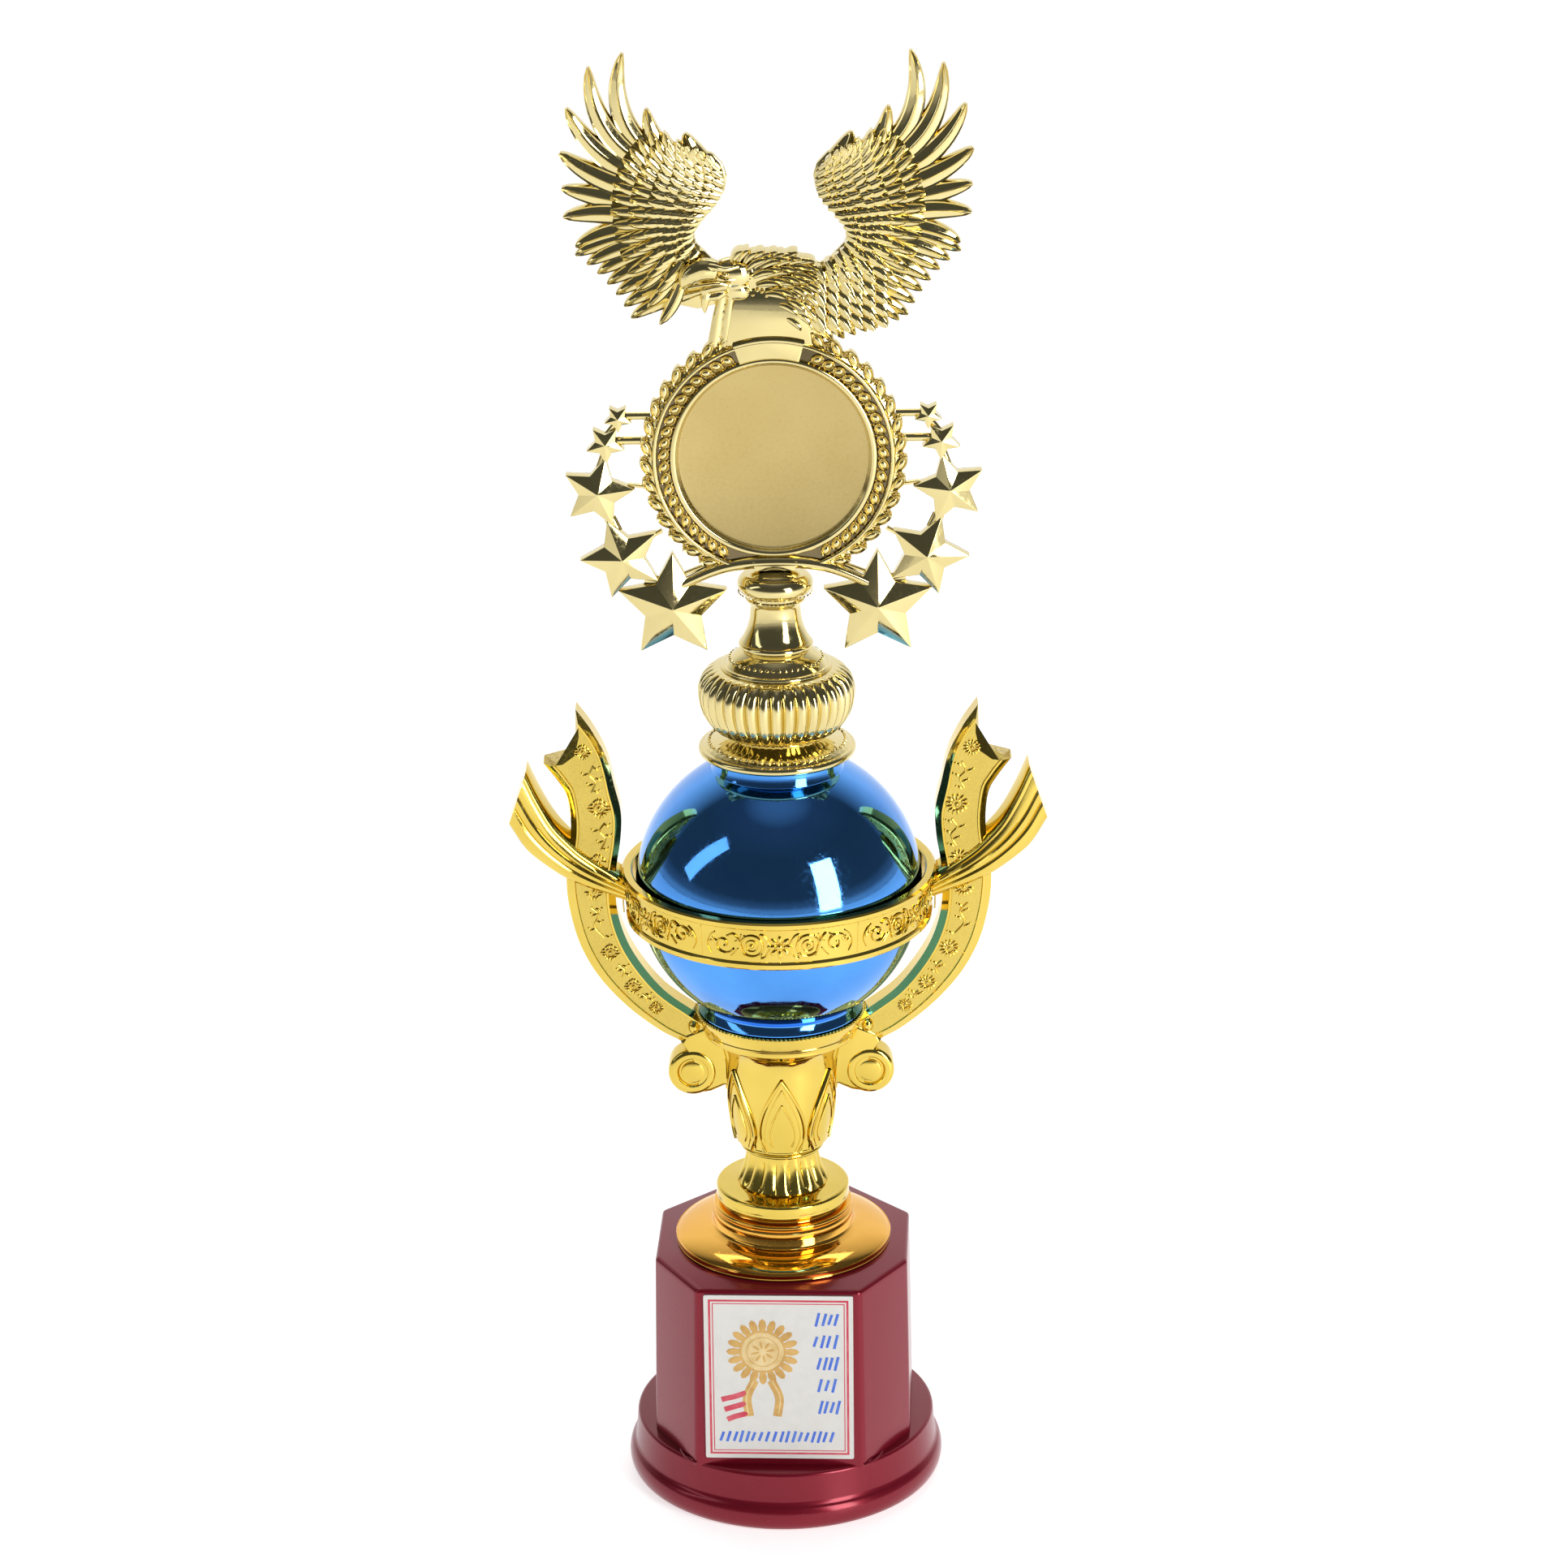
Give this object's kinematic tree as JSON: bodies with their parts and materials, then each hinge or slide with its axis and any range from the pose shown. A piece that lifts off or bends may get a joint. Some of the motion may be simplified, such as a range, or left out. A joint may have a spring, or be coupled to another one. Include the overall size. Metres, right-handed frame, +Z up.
{
  "type": "eagle trophy on plinth",
  "caption": "Gold plastic trophy: eagle over a round medal with stars, fluted stem, blue globe in a ribbon-handled cup, maroon eight-sided plinth.",
  "frame": {"origin": "middle of the plinth's underside, on the axis of the turned pieces", "axes": "+Z up along the trophy's axis, -Y out of the front where the label and the medal face, +X to the viewer's right"},
  "size_m": [0.152, 0.0926, 0.4231],
  "materials": {
    "maroon_plastic": "pearl",
    "label_paper": "satin",
    "amber_gold": "mirror gold plating on plastic",
    "yellow_gold": "mirror gold plating on plastic",
    "pale_gold": "pale gold plating on plastic",
    "blue_chrome": "blue mirror plating on plastic"
  },
  "bodies": {
    "root": {"plinth": "maroon_plastic", "label_plate": "label_paper", "collar": "amber_gold", "cup_frame": "yellow_gold", "globe": "blue_chrome", "stem": "pale_gold", "top_figure": "pale_gold"}
  },
  "joints": []
}
